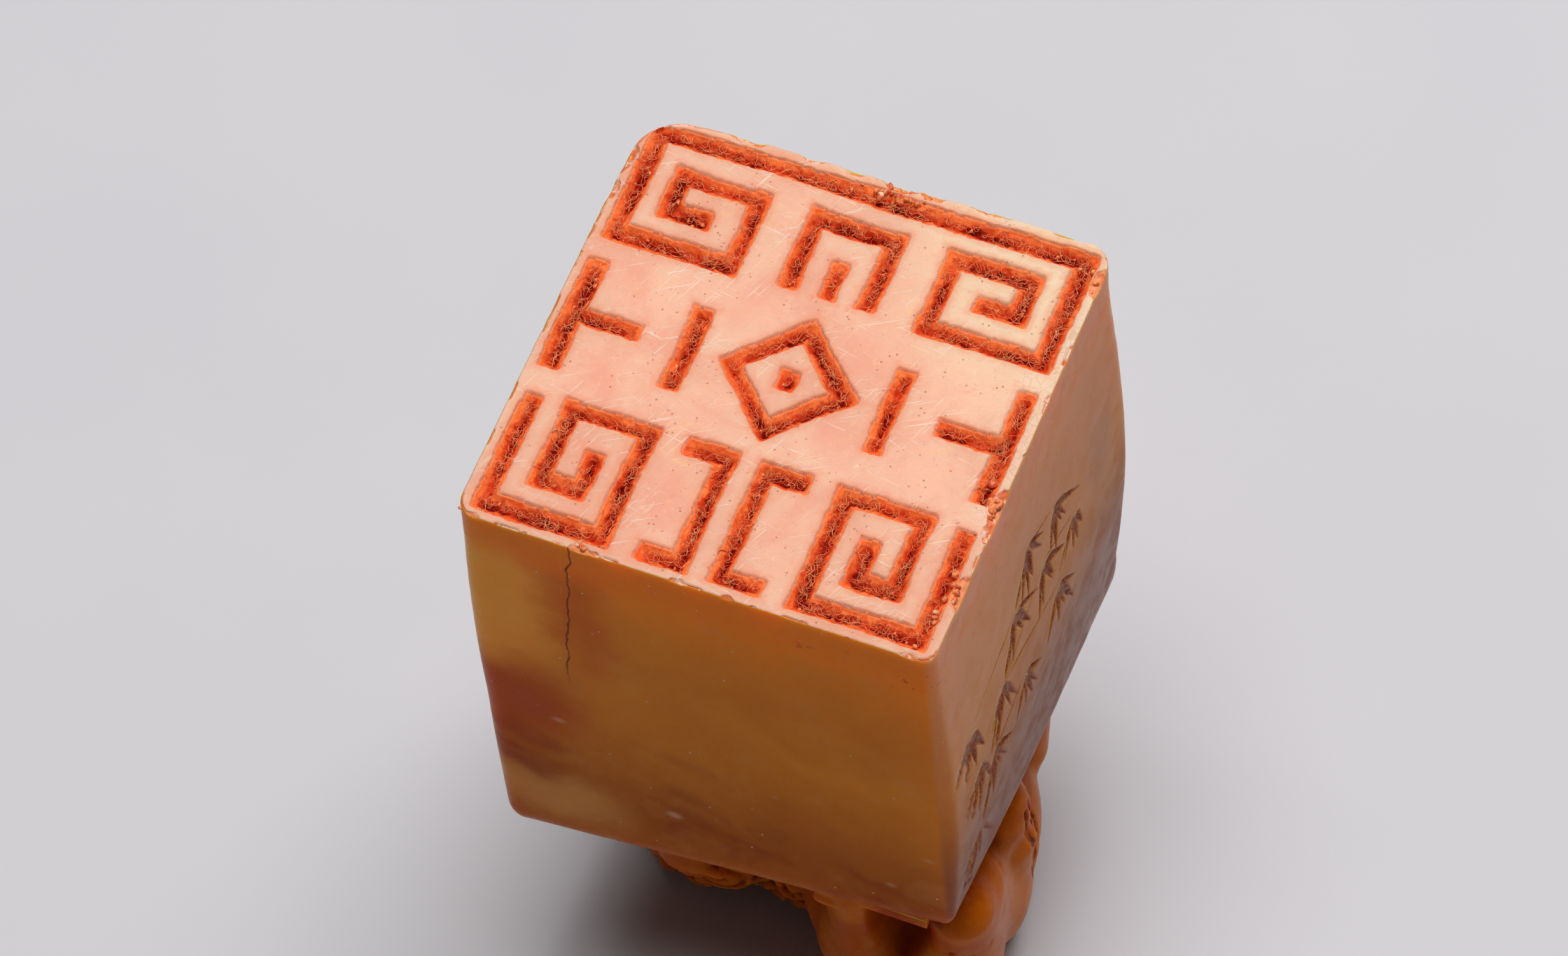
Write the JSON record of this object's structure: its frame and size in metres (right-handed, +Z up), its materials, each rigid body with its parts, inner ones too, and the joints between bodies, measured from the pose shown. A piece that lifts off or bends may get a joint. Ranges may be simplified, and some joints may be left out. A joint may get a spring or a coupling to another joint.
{
  "type": "seal stamp",
  "caption": "Square carved soapstone seal standing on its crouching beast knob, with a fret pattern cut into the seal face and red seal paste left in the strokes.",
  "frame": {"origin": "on the table, under the middle of the stone's bounding box, the stone standing on its knob", "axes": "+Z up out of the seal face, +X along the front side towards the beast's tail, +Y from the front side to the back side"},
  "size_m": [0.021, 0.0204, 0.0406],
  "materials": {
    "shaft_stone": "polished, slightly translucent honey-coloured soapstone",
    "knob_stone": "polished amber soapstone, darker in the carved hollows",
    "seal_paste": "dry cinnabar-red paste with plant fibres"
  },
  "bodies": {
    "root": {"seal_shaft": "shaft_stone", "knob_ground": "knob_stone", "beast_head": "knob_stone", "beast_trunk": "knob_stone", "beast_haunches": "knob_stone", "beast_chest": "knob_stone", "front_foreleg": "knob_stone", "back_foreleg": "knob_stone", "beast_tail": "knob_stone", "front_hind_leg": "knob_stone", "back_hind_leg": "knob_stone", "paste_top_spirals": "seal_paste", "paste_gate": "seal_paste", "paste_gate_bar": "seal_paste", "paste_left_post": "seal_paste", "paste_right_post": "seal_paste", "paste_left_bar": "seal_paste", "paste_right_bar": "seal_paste", "paste_lozenge": "seal_paste", "paste_lozenge_seed": "seal_paste", "paste_left_spiral": "seal_paste", "paste_right_spiral": "seal_paste", "paste_left_bracket": "seal_paste", "paste_right_bracket": "seal_paste"}
  },
  "joints": []
}
